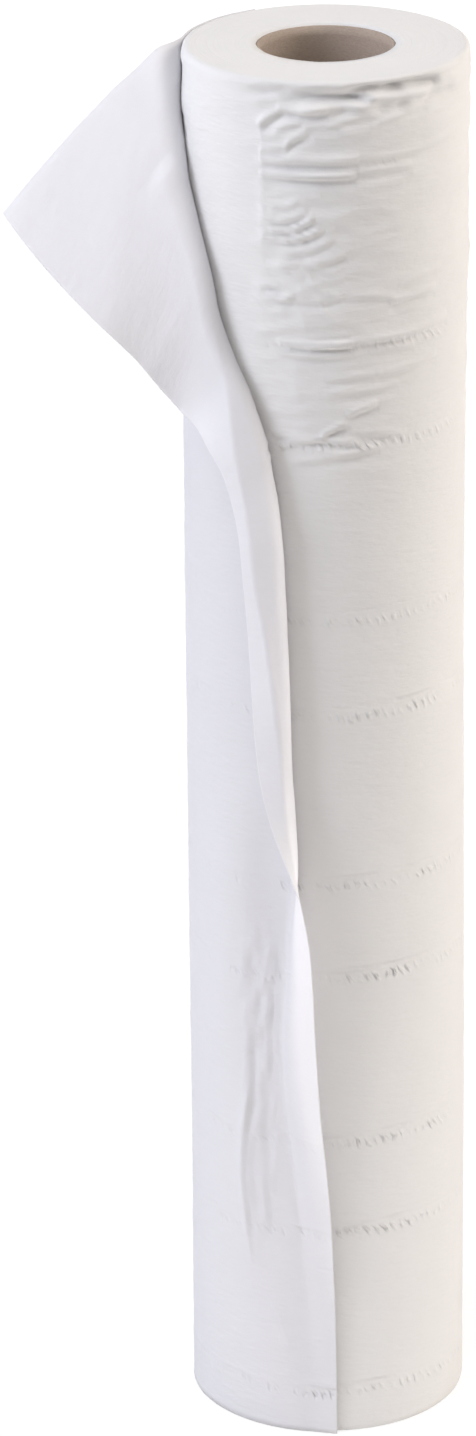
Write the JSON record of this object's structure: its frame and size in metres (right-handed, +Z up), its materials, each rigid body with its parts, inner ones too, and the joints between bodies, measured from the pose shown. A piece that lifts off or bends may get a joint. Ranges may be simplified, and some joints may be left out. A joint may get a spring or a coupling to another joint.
{
  "type": "exam table paper roll",
  "caption": "Standing roll of soft white tissue on a thin board core, its last turn loose, curling away from the winding and turned back at the upper corner as a drooping flap.",
  "frame": {"origin": "on the winding axis, at the lower end that the roll stands on", "axes": "+Z up along the winding axis; the flap points to -X and the free end faces -Y, the front"},
  "size_m": [0.1572, 0.1102, 0.5],
  "materials": {
    "tissue": "soft, matt, finely crinkled",
    "core_board": "raw grey-brown board"
  },
  "bodies": {
    "root": {"paper_roll": "tissue", "core_tube": "core_board"}
  },
  "joints": []
}
